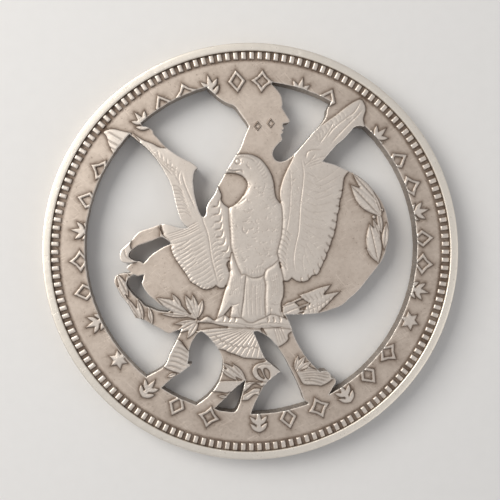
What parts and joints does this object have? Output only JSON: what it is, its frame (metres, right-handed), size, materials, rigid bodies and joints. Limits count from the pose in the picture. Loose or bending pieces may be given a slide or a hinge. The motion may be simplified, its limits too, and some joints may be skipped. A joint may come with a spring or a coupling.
{
  "type": "cut coin",
  "caption": "Round struck silver coin with a reeded edge, sawn through so that a bird and branches stand inside its rim.",
  "frame": {"origin": "centre of the coin on the plane of its underside", "axes": "+Z out of the struck front face, +X to the viewer's right and +Y up as the front is read"},
  "size_m": [0.0382, 0.0382, 0.0024],
  "materials": {
    "field_silver": "worn silver field with warm brown patina",
    "relief_silver": "worn bright silver relief",
    "denticle_silver": "worn silver, dark between the teeth",
    "rim_silver": "bright silver polished by handling"
  },
  "bodies": {
    "root": {"pierced_blank": "field_silver", "reeded_edge": "rim_silver", "front_rim": "rim_silver", "back_rim": "rim_silver", "front_denticles": "denticle_silver", "back_denticles": "denticle_silver", "border_marks_left": "relief_silver", "border_marks_top": "relief_silver", "border_marks_right": "relief_silver", "border_marks_bottom": "relief_silver", "left_star": "relief_silver", "right_star": "relief_silver", "motto_lozenges": "relief_silver", "eagle_head": "relief_silver", "eagle_breast": "relief_silver", "left_wing": "relief_silver", "left_wing_tip": "relief_silver", "right_wing": "relief_silver", "left_leg": "relief_silver", "right_leg": "relief_silver", "tail": "relief_silver", "tail_fan": "relief_silver", "perch_branch": "relief_silver", "olive_leaves": "relief_silver", "arrow_feathers": "relief_silver", "arrow_shafts": "relief_silver", "wreath_right": "relief_silver", "wreath_claws": "relief_silver", "wreath_lower_left": "relief_silver", "wreath_lower_middle": "relief_silver", "bow_loop": "relief_silver", "ribbon": "relief_silver", "wreath_lower_right": "relief_silver", "back_stars": "relief_silver", "back_laurel": "relief_silver"}
  },
  "joints": []
}
